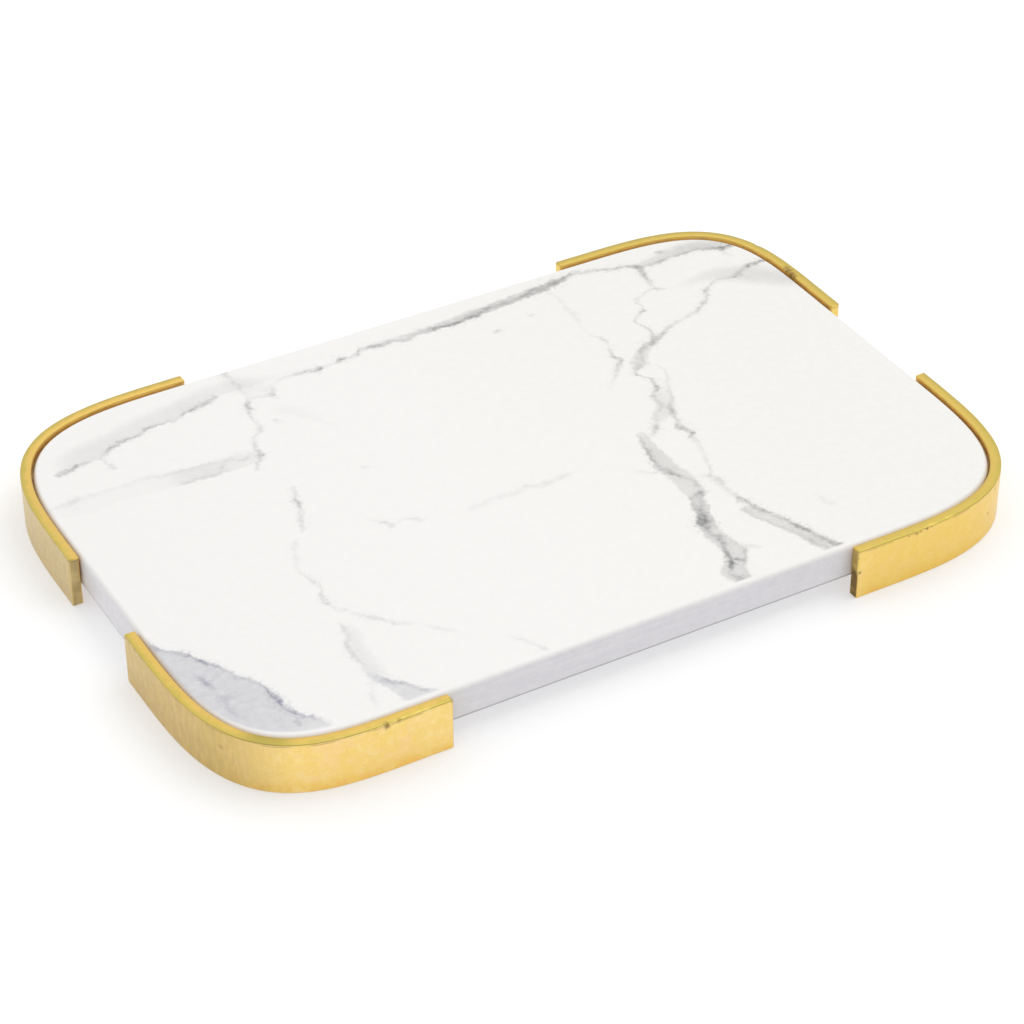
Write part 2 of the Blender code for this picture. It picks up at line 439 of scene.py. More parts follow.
# Each vein is a run of (x, y, half width, darkness) on the slab's top face.
# A "line" is darkest along its middle, a "fill" is even across with a clear edge, a "haze" has none, and
# a "wash" starts sharp at the line and fades to one side, over its width.
VEINS = [
    ("line", [
        (-138, 68, 0.7, 0), (-136, 67.8, 1.4, 0.4), (-131, 68.8, 1.5, 0.42), (-126, 69.9, 1.0, 0.24),
        (-120, 70.3, 0.9, 0.22), (-116, 73, 1.2, 0.36), (-113, 74.4, 1.3, 0.42), (-109, 75.3, 1, 0.28),
        (-103, 76.1, 1, 0.26), (-99, 78.3, 1.1, 0.3), (-93, 78.7, 1, 0.26), (-87, 78.9, 1, 0.28),
        (-83, 80.9, 1.2, 0.4), (-75, 82.2, 1.2, 0.38), (-70.5, 84, 1.2, 0.42), (-69.3, 84.4, 0.8, 0),
    ]),
    ("wash left", [
        (-138, 68, 4, 0), (-130, 69.5, 11, 0.09), (-120, 71, 13, 0.13), (-105, 76, 11, 0.12),
        (-92, 79, 11, 0.12), (-80, 81, 11, 0.14), (-70, 84, 10, 0.10), (-60, 84, 10, 0.07),
        (-50, 84, 6, 0.04), (-42, 84, 4, 0),
    ]),
    ("line", [
        (-120.3, 71, 0.6, 0), (-119.8, 69, 0.8, 0.14), (-119, 65, 0.9, 0.14), (-118.6, 62.4, 1.2, 0.16),
        (-118, 60.5, 0.6, 0),
    ]),
    ("line", [
        (-53, 80, 1.5, 0), (-50, 81, 1.6, 0.06), (-45, 83.3, 1.4, 0.09), (-39, 83.1, 1.1, 0.26),
        (-35, 82.6, 1.2, 0.34), (-32.5, 82, 1.5, 0.5), (-29.5, 82.7, 1.1, 0.22), (-26, 83, 0.9, 0.12),
        (-24, 83.2, 1.2, 0.36), (-21.5, 84, 1.4, 0.52), (-18.5, 83.3, 1.1, 0.26), (-16, 83.2, 1.1, 0.3),
        (-14, 84.4, 1.3, 0.4), (-12.3, 86, 1.4, 0.22), (-6, 85, 1.3, 0.38), (-2, 85.6, 1.8, 0.2),
        (3, 83.8, 1.3, 0.26), (6.5, 83.7, 1.2, 0.3), (10, 85.4, 1.7, 0.22), (14, 85, 1.3, 0.36),
        (20, 85, 1.3, 0.42), (22, 84.4, 1.3, 0.48), (26, 84.2, 1.2, 0.4), (31, 85, 1.3, 0.44),
        (34.3, 84.5, 1.5, 0.5), (37, 85.8, 1.2, 0.34), (39.5, 87.6, 1.1, 0.26), (47, 87, 1.2, 0.22),
        (54, 87.8, 1.3, 0.22), (58, 88.4, 1.3, 0),
    ]),
    ("line", [
        (50, 87.3, 1.2, 0), (55, 87.9, 1.4, 0.2), (60, 89, 2.1, 0.44), (64, 89, 2.2, 0.48),
        (68, 89.6, 2, 0.38),
        (72, 90.6, 1.9, 0.38), (76, 91.8, 1.4, 0.38), (79, 92.4, 1.3, 0.34), (83, 91.7, 1.3, 0.3),
        (86, 91, 1.2, 0.3), (90, 89.6, 1.2, 0.38), (94, 88, 1.3, 0.36), (98, 87.2, 1.4, 0.3),
        (101, 85.8, 1.6, 0.36), (104, 84.2, 1.2, 0.3), (108, 83.5, 1.2, 0.26), (112, 83.6, 1.3, 0.28),
        (118, 84.2, 1.2, 0.2), (128, 84, 1.6, 0.18), (133, 82.6, 1.6, 0.24), (137, 80.4, 1.8, 0.58),
        (140, 80.3, 1.5, 0.42), (144, 81, 1.4, 0.3), (150, 81.5, 1.4, 0.2), (153, 81.5, 1, 0),
    ]),
    ("wash left", [
        (-14, 83.6, 2, 0), (-8, 84.4, 3.4, 0.14), (0, 84.2, 3.8, 0.14), (8, 83.8, 4.4, 0.18),
        (16, 84, 4.6, 0.22), (22, 83.6, 5.2, 0.24), (27, 83.6, 6, 0.26), (33, 84, 6.6, 0.3),
        (38, 84.6, 6, 0.24), (45, 85.4, 5.6, 0.12), (52, 86, 5, 0.08), (58, 87, 4.4, 0),
    ]),
    ("fill", [
        (32, 86, 1, 0), (38, 87, 2, 0.14), (45, 87.8, 2.4, 0.2), (52, 88, 2.6, 0.2),
        (58, 88.8, 2.6, 0.22),
        (66, 89.6, 2.4, 0.22), (73, 91, 2, 0.16), (80, 92, 1.2, 0),
    ]),
    ("fill", [
        (87, 41.5, 1, 0), (80, 38.5, 2, 0.08), (74, 34.5, 2.6, 0.12), (69, 29.5, 2.8, 0.09),
        (64.5, 26, 2, 0),
    ]),
    ("wash left", [
        (97, 87, 2, 0), (104, 84.4, 4, 0.1), (112, 83.6, 7, 0.17), (120, 84, 8, 0.22),
        (128, 83.6, 9, 0.25), (136, 80.6, 9, 0.22), (143, 80.6, 6, 0.14), (149, 81, 4, 0),
    ]),
    ("line", [(112.5, 89.2, 0.8, 0), (115.3, 89.5, 1.5, 0.36), (118, 89.4, 0.8, 0)]),
    ("line", [
        (102.6, 86.5, 1.2, 0), (102.5, 84, 1.7, 0.32), (102, 80, 1.6, 0.38), (101.3, 77, 1.4, 0.3),
        (100.6, 73, 1.4, 0.24), (100.3, 70, 1.1, 0.1), (101, 68, 1.2, 0.14), (102.2, 66.8, 1.5, 0.2),
        (103.3, 65.6, 1, 0),
    ]),
    ("line", [
        (103, 67.5, 0.8, 0), (100.5, 68.6, 1, 0.13), (97, 68.6, 0.9, 0.11), (93, 66.8, 1, 0.13),
        (89.5, 64.5, 1.1, 0.16), (89.2, 60, 0.9, 0.11), (88.5, 58, 1.2, 0.32), (86, 57, 1, 0.17),
        (83, 54.5, 1, 0.22), (81.6, 52, 1.1, 0.26), (83, 49, 1.2, 0.28), (83.6, 45, 1.1, 0.28),
        (82.5, 41.5, 1.3, 0.28), (81, 38.5, 1, 0),
    ]),
    ("line", [
        (153, 65, 1, 0), (147, 65, 1.4, 0.46), (142, 65.4, 1.4, 0.54), (138, 65, 1.4, 0.42),
        (134.5, 63.5, 1.6, 0.22), (131.5, 61.5, 1.8, 0.28), (126, 62, 1.4, 0.13), (121, 61.3, 1.1, 0.15),
        (118, 59.5, 1.1, 0.19), (115, 57.5, 1.5, 0.38), (114, 55, 1.3, 0.25), (111, 51.8, 1.2, 0.22),
        (107, 49.3, 1.2, 0.26), (104, 47.6, 1.2, 0.22), (100, 46, 1.2, 0.14), (95, 45.2, 1.2, 0.14),
        (91, 44, 1.2, 0.2), (88, 42.2, 1.1, 0.25), (85, 40.6, 1.1, 0.3), (82, 39, 1.4, 0.36),
        (79, 37.6, 1.6, 0.38), (76, 37, 1.7, 0.34), (73.5, 35, 1.5, 0.26), (71, 32, 1.8, 0.22),
        (69, 28.6, 2.2, 0.22), (67, 26.8, 1.8, 0.26), (65, 26, 1.2, 0),
    ]),
    ("haze", [
        (106, 66, 2, 0), (114, 66, 4, 0.07), (124, 66, 6, 0.13), (132, 62, 8, 0.17),
        (138, 58, 9, 0.19), (143, 54, 9, 0.19), (149, 49, 8, 0.15), (153, 46, 7, 0),
    ]),
    ("line", [
        (64, 90, 0.8, 0), (65, 84, 1.2, 0.08), (66, 79, 1, 0.07), (65, 73, 1.4, 0.1), (65, 66, 1.6, 0.1),
        (63.5, 60, 1.2, 0.03), (63.5, 54, 1, 0.06), (65.5, 49, 1.1, 0.22), (65.8, 45, 1.1, 0.14),
        (63.8, 41, 1.1, 0.16), (63.2, 38, 1.3, 0.26), (64.2, 35, 1.4, 0.34), (62.5, 32, 1.3, 0.27),
        (60.5, 29.5, 1.3, 0.24), (57, 26, 1.4, 0.12), (54, 23, 1.2, 0.1), (50.5, 18.5, 1, 0),
    ]),
    ("line", [
        (67, 31, 1.2, 0), (67.5, 29.5, 1.8, 0.16), (68, 27.5, 2.2, 0.12), (65.5, 25.8, 1.6, 0.2),
        (64, 23.5, 1.2, 0.23), (66, 20.5, 1.1, 0.25), (67.3, 18.5, 1.2, 0.3), (66.8, 15.5, 1.2, 0.27),
        (66, 12.5, 1.3, 0.3), (63.5, 10.3, 1.3, 0.27), (62, 8.5, 1.4, 0.3), (61.8, 5, 1.3, 0.25),
        (61.4, 2, 1.4, 0.22), (59.5, 0, 1.4, 0.14), (57, -2, 1, 0),
    ]),
    ("line", [
        (73, 27.5, 0.8, 0), (74, 23, 0.9, 0.08), (74, 19, 1, 0.1), (71.5, 14.5, 1.1, 0.12),
        (69.5, 10, 0.9, 0.1), (67.5, 5, 0.9, 0.1), (64.5, 1.5, 1.2, 0.17), (62, -1.5, 1, 0),
    ]),
    ("fill", [
        (69, 15, 1.6, 0), (67.4, 10, 2.8, 0.06), (65.4, 6, 3.4, 0.1), (62.6, 1.5, 3.6, 0.12),
        (58.5, -2.5, 3.4, 0.12), (54, -6.5, 2.2, 0),
    ]),
    ("line", [
        (58, -1, 1.2, 0), (56, -4, 1.8, 0.1), (54, -6.3, 1.4, 0.17), (52.3, -8.6, 1.4, 0.32),
        (51, -10, 1.4, 0.28), (49, -12, 2, 0.1), (46.5, -13.5, 1.5, 0),
    ]),
    ("line", [
        (64, 1.5, 1.2, 0), (63.2, -1.5, 1.5, 0.27), (62, -5, 1.3, 0.27), (61, -9, 1.3, 0.34),
        (60, -12.5, 1.9, 0.48), (61, -14.5, 1.2, 0.28), (61.7, -17, 1.4, 0.38), (60.3, -19.3, 1.1, 0.2),
        (60, -23, 1, 0.14), (58.8, -28, 1, 0.13), (57.5, -32, 1, 0.12), (56.3, -36, 1.1, 0.15),
        (55, -39.5, 1.2, 0.12), (53.5, -42, 1.6, 0.17), (54, -46, 1.9, 0.21), (53.7, -51, 1.2, 0.16),
        (54.7, -55, 1.2, 0.22), (55.2, -58.5, 1.4, 0.36), (56, -62, 1.3, 0.32), (57, -66, 1.3, 0.42),
        (59, -70, 1.3, 0.42), (61, -75, 1.2, 0.44), (62.3, -79, 1.4, 0.42), (64.5, -84, 1.4, 0.44),
        (66.5, -90, 1.3, 0.42), (68.5, -95, 1.4, 0.46), (70.8, -102, 1.4, 0.4), (71.5, -104, 1, 0),
    ]),
    ("fill", [
        (51.8, -62, 1, 0), (53.6, -64, 2.1, 0.16), (55, -68, 2.4, 0.17), (57, -73, 2.5, 0.17),
        (59.3, -78, 2.5, 0.17), (61.5, -83, 2.6, 0.2), (63.5, -89, 2.8, 0.23), (66, -96, 3, 0.23),
        (68.5, -102, 3, 0.2), (69.3, -105, 2, 0),
    ]),
    ("line", [
        (51, -63.3, 0.8, 0), (52.4, -63.8, 1.2, 0.22), (54, -69, 0.8, 0.1), (56, -74, 0.8, 0.12),
        (58.5, -79, 0.8, 0.12), (62, -88, 0.9, 0.15), (64, -93, 0.9, 0.15), (67, -101, 0.9, 0),
    ]),
    ("fill", [
        (45.7, -7.5, 1.2, 0), (45.6, -10, 2, 0.15), (45, -15, 2.8, 0.18), (44.3, -20, 3.1, 0.2),
        (44, -25, 3.6, 0.21), (43.6, -30, 3.9, 0.21), (44, -35, 4.2, 0.18), (44.2, -40, 4, 0.18),
        (43, -45, 3.4, 0.17), (42.5, -50, 3, 0.23), (41, -55, 3, 0.25), (39, -60, 2.8, 0.27),
        (37.3, -65, 3, 0.26), (36.8, -70, 3.4, 0.2), (37, -75, 3.4, 0.2), (37.5, -80, 4, 0.2),
        (34.5, -85, 3.8, 0.2), (31.2, -90, 4.5, 0.21), (31, -95, 3.7, 0.23), (31, -102, 3.4, 0.2),
        (31, -106, 3, 0),
    ]),
    ("line", [
        (45.2, -8.5, 0.8, 0), (44, -14, 1, 0.2), (43, -18, 1.1, 0.26), (42, -21.5, 1.3, 0.42),
        (41.3, -25, 1.3, 0.44), (40.8, -28.5, 1.2, 0.3), (42, -31, 1.9, 0.38), (43, -34, 1.4, 0.3),
        (44.5, -36.5, 1.2, 0.26), (45.5, -39, 1, 0.16), (46.8, -42, 1.2, 0.3), (46.3, -46, 1.3, 0.34),
        (45.5, -49, 1.3, 0.34), (43.5, -51.5, 1.2, 0.2), (42, -54, 1.3, 0.2), (40, -56.5, 1.5, 0.34),
        (38.6, -60, 2, 0.5), (37, -63.5, 2.5, 0.5), (36.2, -66.5, 1.9, 0.46), (35.8, -69, 1.3, 0.2),
        (37, -72, 1.7, 0.38), (36.5, -75.5, 1.5, 0.3), (35, -79.5, 1.2, 0.36), (34, -83, 1.2, 0.46),
        (32.6, -86, 1.2, 0.52), (31.5, -88.5, 1.2, 0.4), (30, -90.5, 1.2, 0.14),
        (30.5, -93.5, 1.8, 0.42),
        (31.5, -97, 1.5, 0.3), (32, -102, 1.4, 0.2), (32, -105, 1, 0),
    ]),
    ("line", [
        (39.3, -50.6, 0.7, 0), (41, -49.7, 1, 0.26), (43.5, -48.3, 1, 0.26), (45.5, -47.5, 0.9, 0.2),
        (47, -46.8, 0.6, 0),
    ]),
    ("line", [
        (40.4, -49, 0.7, 0), (39.3, -54, 1, 0.22), (38, -58, 1, 0.2), (36, -62, 1, 0.2),
        (34.5, -66, 1, 0.14), (33.6, -70, 0.9, 0.12), (34, -75, 0.8, 0.1), (34, -80, 0.6, 0),
    ]),
    ("line", [
        (40, -71, 0.7, 0), (40.2, -77, 0.9, 0.12), (41.5, -80.5, 1.1, 0.27), (40, -83, 1, 0.32),
        (38, -86, 1, 0.36), (36.6, -87.6, 1, 0.36), (35.6, -90, 0.8, 0.13), (34.5, -94, 0.8, 0.1),
        (34, -99, 0.7, 0),
    ]),
    ("line", [(32.8, -83, 0.6, 0), (34.3, -84.6, 0.9, 0.3), (36, -86.3, 1, 0.34), (38, -88.3, 0.6, 0)]),
    ("line", [(41, -80, 0.8, 0), (42.6, -81, 1.1, 0.13), (44.5, -82.3, 1.1, 0.12), (46.5, -83.3, 0.7, 0)]),
    ("line", [
        (41.5, -31.5, 0.9, 0), (38.5, -31, 1.2, 0.1), (36, -29.8, 1.2, 0.08), (33.5, -27, 1.2, 0.05),
        (31.5, -24, 1, 0),
    ]),
    ("line", [(47, -39.5, 1.6, 0), (50, -40, 1.9, 0.08), (53, -41, 1.9, 0.08), (55.5, -41.6, 1.4, 0)]),
    ("line", [
        (-61.5, 99, 1, 0), (-62, 95, 1.8, 0.27), (-61.2, 92, 1.1, 0.12), (-60.8, 88, 1.1, 0.1),
        (-60.6, 83, 1.1, 0.1), (-60.5, 79, 1.1, 0.08), (-61.8, 76, 1.2, 0.17), (-63.6, 72.8, 1.5, 0.4),
        (-64.2, 70.5, 1.4, 0.35), (-65, 67.5, 1.1, 0.2), (-65, 63, 0.9, 0.1), (-65.5, 58.5, 1.2, 0.18),
        (-67.5, 56.5, 1.1, 0.14), (-70.5, 54, 1, 0.16), (-71.5, 51, 1.1, 0.22), (-72.2, 48.3, 1.2, 0.17),
        (-71.6, 45.3, 1.4, 0.36), (-72.8, 43.3, 1.1, 0.18), (-75, 41.3, 1.1, 0.18),
        (-76.5, 38.5, 1.1, 0.14),
        (-77, 35.5, 0.8, 0),
    ]),
    ("line", [
        (-61.5, 77.6, 0.8, 0), (-58, 76.8, 1.2, 0.12), (-55, 76, 1.5, 0.13), (-52.8, 75.8, 2.2, 0.26),
        (-51, 77.5, 1.6, 0.14), (-49, 79.5, 1, 0),
    ]),
    ("line", [
        (-69.8, 23.5, 0.8, 0), (-71.3, 21.3, 1.2, 0.2), (-71.8, 18.8, 1.1, 0.16), (-73.6, 16, 1.3, 0.24),
        (-73.4, 13, 1.4, 0.32), (-74.5, 10, 1.2, 0.22), (-75.8, 6.5, 1.3, 0.18), (-77.5, 2.5, 1.3, 0.16),
        (-78.6, -0.5, 1.1, 0.12), (-79.8, -3.5, 0.8, 0),
    ]),
    ("line", [
        (-84.3, -3.5, 1, 0), (-85, -6.5, 1.8, 0.1), (-86.3, -10, 1.4, 0.08), (-88.5, -15, 1.2, 0.08),
        (-90, -19.5, 1.1, 0.07), (-89, -24, 1, 0.1), (-88.2, -28, 1.1, 0.19), (-88, -32, 1.1, 0.12),
        (-90, -35.5, 1.1, 0.18), (-90.2, -39.3, 1.3, 0.27), (-89, -42.5, 1.4, 0.1),
        (-87.5, -45.5, 1.7, 0.1),
        (-85.5, -48, 1.2, 0),
    ]),
    ("line", [
        (-87.5, -44.5, 1.3, 0), (-84.5, -49, 1.3, 0.08), (-81.5, -53.2, 1.5, 0.15),
        (-78.5, -56.5, 1.1, 0.15),
        (-76, -59.5, 1, 0.13), (-72.5, -62.2, 1, 0.08), (-69, -64, 0.8, 0.02), (-66, -67.5, 1.1, 0.07),
        (-64, -70, 1.1, 0.06), (-61, -73, 1.1, 0.03), (-59, -75.5, 0.8, 0),
    ]),
    ("line", [
        (-91, -49.5, 0.9, 0), (-91.3, -53.5, 1.2, 0.16), (-92, -57, 1.4, 0.12),
        (-94.2, -61.5, 1.6, 0.16),
        (-95, -67, 1.3, 0.18), (-94.6, -72, 1.2, 0.14), (-94.6, -76, 1.1, 0.12),
        (-94.5, -79.5, 1.4, 0.2),
        (-92.5, -83, 1.8, 0.27), (-89, -86, 1.6, 0.24), (-86.5, -88.5, 1.1, 0.14),
        (-85, -91.5, 1.1, 0.12),
        (-82, -94.5, 1.1, 0.2), (-79, -97, 1.1, 0.2), (-77, -99, 0.8, 0),
    ]),
    ("haze", [
        (-89.5, -51, 2, 0), (-90, -57, 4, 0.08), (-92, -64, 4.6, 0.1), (-92.3, -71, 4.4, 0.1),
        (-92.5, -78, 4, 0.1), (-91, -82, 3, 0),
    ]),
    ("fill", [
        (-94.5, -80, 1.2, 0), (-91.5, -85, 2.2, 0.16), (-89, -89, 3.3, 0.2), (-87.5, -93, 4.5, 0.21),
        (-85.5, -97, 5, 0.2), (-85, -102, 5, 0.18), (-84.5, -105, 4, 0),
    ]),
    ("line", [
        (-95.2, -80, 0.8, 0), (-97, -84.5, 1.1, 0.08), (-99, -88.5, 1.4, 0.08), (-100.3, -93, 1.4, 0.06),
        (-100.5, -98, 1, 0),
    ]),
    ("line", [
        (-151, 50.5, 1, 0), (-145, 50.6, 1.2, 0.05), (-138.5, 51.4, 1.8, 0.14), (-133, 51.8, 1.4, 0.06),
        (-122, 51.6, 1.4, 0.06), (-114, 52, 1.5, 0.07), (-105, 50, 1.4, 0.09), (-97, 49.3, 1.4, 0.08),
        (-88, 48.8, 1.4, 0.06), (-80, 49, 1.4, 0.05), (-73, 50, 1, 0),
    ]),
    ("fill", [
        (-150, 48.5, 3, 0), (-138, 47.5, 4.6, 0.03), (-120, 47.5, 4.6, 0.03), (-106, 46.5, 4.6, 0.045),
        (-103, 46, 4.4, 0.1), (-95, 45.5, 4.4, 0.14), (-86, 45, 4.2, 0.12), (-78, 44.8, 4, 0.08),
        (-73, 44.5, 3.4, 0.06), (-70, 44.5, 2.5, 0),
    ]),
    ("line", [
        (-104, 42.4, 0.8, 0), (-101, 42.2, 1.2, 0.12), (-95, 42, 1.1, 0.1), (-90, 41.7, 1.2, 0.14),
        (-86.5, 42.8, 1, 0.06), (-83.5, 44.2, 0.8, 0),
    ]),
    ("line", [
        (-89, 44.4, 0.7, 0), (-86.3, 45, 1, 0.14), (-83.5, 47.6, 0.9, 0.08), (-80.5, 46.2, 0.9, 0.12),
        (-78, 45, 1, 0.14), (-75, 45.8, 0.9, 0.08), (-72.5, 45.6, 0.7, 0),
    ]),
    ("line", [
        (-152, -24, 0.7, 0), (-148.5, -29.5, 1, 0.3), (-146, -34, 1.1, 0.22), (-143, -37.6, 0.9, 0.24),
        (-140.5, -40.2, 1.1, 0.4), (-138.5, -43.6, 1, 0.36), (-135.2, -48.8, 1, 0.4),
        (-132.5, -53.5, 0.8, 0.3),
        (-130.2, -58.5, 0.9, 0.26), (-127.8, -61.8, 1, 0.3), (-126, -66, 0.8, 0.28),
        (-124.8, -70, 1, 0.4),
        (-124.8, -74.5, 1.3, 0.44), (-124, -78.5, 1.3, 0.5), (-123, -83, 1.1, 0.45),
        (-121.3, -86.2, 1.1, 0.3),
        (-119, -88, 1.2, 0.22), (-117, -91, 1.4, 0.12), (-115, -96, 1, 0),
    ]),
    ("wash right", [
        (-152, -23, 6, 0), (-148.5, -29.5, 9, 0.24), (-143, -37.6, 18, 0.26), (-138.5, -43.6, 28, 0.27),
        (-135.2, -48.8, 34, 0.27), (-130.2, -58.5, 40, 0.27), (-126, -66, 44, 0.27),
        (-124.8, -74.5, 44, 0.27),
        (-123, -83, 44, 0.26), (-119, -88, 40, 0.22), (-115, -96, 32, 0.1), (-112, -102, 20, 0),
    ]),
    ("line", [
        (-142, -51.5, 0.8, 0), (-140.8, -54.5, 1.1, 0.28), (-140, -57.5, 1.2, 0.34),
        (-139.6, -61, 0.9, 0.18),
        (-140, -64, 0.9, 0.1), (-137.8, -66.8, 2.4, 0.22), (-139, -70, 1.4, 0.14),
        (-139.2, -74, 1.3, 0.2),
        (-138, -77, 1.1, 0.08), (-136.5, -80.5, 0.8, 0),
    ]),
    ("line", [(-125, -85.5, 0.7, 0), (-124.2, -87.6, 1.2, 0.4), (-123.8, -90, 0.7, 0)]),
    ("line", [
        (-58.5, -4.5, 0.8, 0), (-56, -8.5, 1.3, 0.1), (-54.3, -10.6, 1.5, 0.16),
        (-52.8, -13.3, 1.7, 0.18),
        (-51.3, -13.4, 1.2, 0.1), (-49, -12.3, 1, 0.06), (-46.5, -12.2, 1.1, 0.1),
        (-44.5, -14, 1.1, 0.15),
        (-42.5, -15.3, 1, 0.08), (-38.5, -15, 0.8, 0),
    ]),
    ("line", [
        (-29, -18.6, 1.2, 0), (-22, -18, 1.8, 0.07), (-15, -17, 1.8, 0.07), (-8, -17.6, 1.8, 0.07),
        (-3.5, -16, 2.2, 0.1), (0, -18, 1.8, 0.09), (6, -17.8, 1.6, 0.1), (11, -17.2, 1.5, 0.08),
        (16, -17, 1, 0),
    ]),
    ("line", [
        (-48.5, -81.5, 0.8, 0), (-46.3, -85.5, 1.1, 0.08), (-44, -89.5, 1.1, 0.1),
        (-42, -93.5, 1.1, 0.14),
        (-40.8, -97, 1.1, 0.08), (-39.5, -101, 0.8, 0),
    ]),
    ("line", [
        (32.3, 71.7, 0.6, 0), (34.2, 72, 1.1, 0.14), (35.6, 72.2, 1.2, 0.25), (37, 72, 1, 0.1),
        (38.7, 71.7, 0.6, 0),
    ]),
    ("line", [(49.7, 75.5, 0.8, 0), (51.5, 75.6, 1.3, 0.1), (53.4, 75.6, 0.8, 0)]),
    ("line", [
        (-60.5, 61.7, 0.8, 0), (-58.3, 61, 1.3, 0.15), (-57.3, 59.5, 1.2, 0.1), (-55.5, 57.5, 0.8, 0),
    ]),
    ("haze", [
        (-66, 93, 3, 0), (-62.5, 90, 6, 0.06), (-58, 85, 7, 0.07), (-53.5, 80, 5, 0.06), (-50, 76, 2, 0),
    ]),
    ("haze", [
        (-57.5, 71, 3, 0), (-53, 65, 4.5, 0.045), (-49, 60, 4, 0.04), (-45.5, 54, 2.5, 0.03),
        (-39.5, 42, 1.3, 0),
    ]),
    ("line", [(-46.5, 20.5, 0.8, 0), (-44.5, 20.8, 1.3, 0.09), (-42.5, 20.6, 0.8, 0)]),
    ("line", [(77.2, -67, 1, 0), (78.3, -70, 1.5, 0.05), (79.2, -74, 1.8, 0.07), (80.3, -78, 1.2, 0)]),
    ("line", [(136.5, 80.5, 1, 0), (136, 77, 1.4, 0.13), (137.3, 74.5, 1.2, 0.08), (139.5, 72.5, 1, 0)]),
]

# The most that a vein strays to either side of the straight line between its ends.
VEIN_SWING = 12.0
# The widest that each kind of vein gets, so its widths fit a curve that runs from 0 to 1.
WIDEST = {"line": 3.0, "fill": 8.0, "haze": 12.0, "wash left": 48.0, "wash right": 48.0}


def vein_mask(nodes, kind, points, place, grit, cloud, flecks):
    """How much one vein darkens the stone at a place, from 0 to 1."""
    start = Vector(points[0][:2])
    chord = Vector(points[-1][:2]) - start
    length = chord.length
    forward = chord / length
    side = Vector((-forward.y, forward.x))
    from_start = nodes.vector("SUBTRACT", place, (start.x, start.y, 0.0))
    along = nodes.vector("DOT_PRODUCT", from_start, (forward.x / length, forward.y / length, 0.0))
    across = nodes.vector("DOT_PRODUCT", from_start, (side.x, side.y, 0.0))
    line, widths, shades = [], [], []
    for x, y, half_width, darkness in points:
        offset = Vector((x, y)) - start
        run = offset.dot(forward) / length
        line.append((run, 0.5 + offset.dot(side) / (2 * VEIN_SWING)))
        widths.append((run, half_width / WIDEST[kind]))
        shades.append((run, darkness))
    middle = nodes.math("MULTIPLY_ADD", nodes.curve(along, line), 2 * VEIN_SWING, -VEIN_SWING)
    distance = nodes.math("SUBTRACT", across, middle)
    width = nodes.math("MULTIPLY", nodes.curve(along, widths), WIDEST[kind])
    shade = nodes.curve(along, shades)
    if kind.startswith("wash"):
        if kind == "wash right":
            distance = nodes.math("MULTIPLY", distance, -1.0)
        far_side = nodes.remap(nodes.math("DIVIDE", distance, width), 0.45, 1.0, 1.0, 0.0)
        body = nodes.math("MULTIPLY", nodes.remap(distance, -0.35, 0.35), far_side)
        return nodes.math("MULTIPLY", nodes.math("MULTIPLY", shade, body), cloud, clamp=True)
    reach = nodes.math("DIVIDE", nodes.math("ABSOLUTE", distance), width)
    if kind == "line":
        core = nodes.remap(reach, 0.05, 1.45, 1.0, 0.0)
        halo = nodes.math("MULTIPLY", nodes.remap(reach, 0.8, 3.2, 0.42, 0.0), flecks)
        body = nodes.math("MAXIMUM", core, halo)
        return nodes.math("MULTIPLY", nodes.math("MULTIPLY", shade, body), grit, clamp=True)
    inner, outer = (0.7, 1.15) if kind == "fill" else (0.1, 1.1)
    body = nodes.remap(reach, inner, outer, 1.0, 0.0)
    return nodes.math("MULTIPLY", nodes.math("MULTIPLY", shade, body), cloud, clamp=True)


VEIN_GREY = (0.02, 0.022, 0.028, 1.0)
VEIN_BLUE = (0.02, 0.022, 0.14, 1.0)
# The face is a little warmer to the right, and painted a little darker there as painted shade. Each pair is
# its cloudy shade and its clear one.
FACE_LEFT = ((0.905, 0.895, 0.878, 1.0), (0.918, 0.908, 0.888, 1.0))
FACE_RIGHT_SHADED = ((0.872, 0.862, 0.832, 1.0), (0.892, 0.882, 0.852, 1.0))
SHADED_SAWN_SIDE = ((0.765, 0.75, 0.785, 1.0), (0.85, 0.835, 0.86, 1.0))
LOW_EDGE_GREY = (0.36, 0.35, 0.35, 1.0)


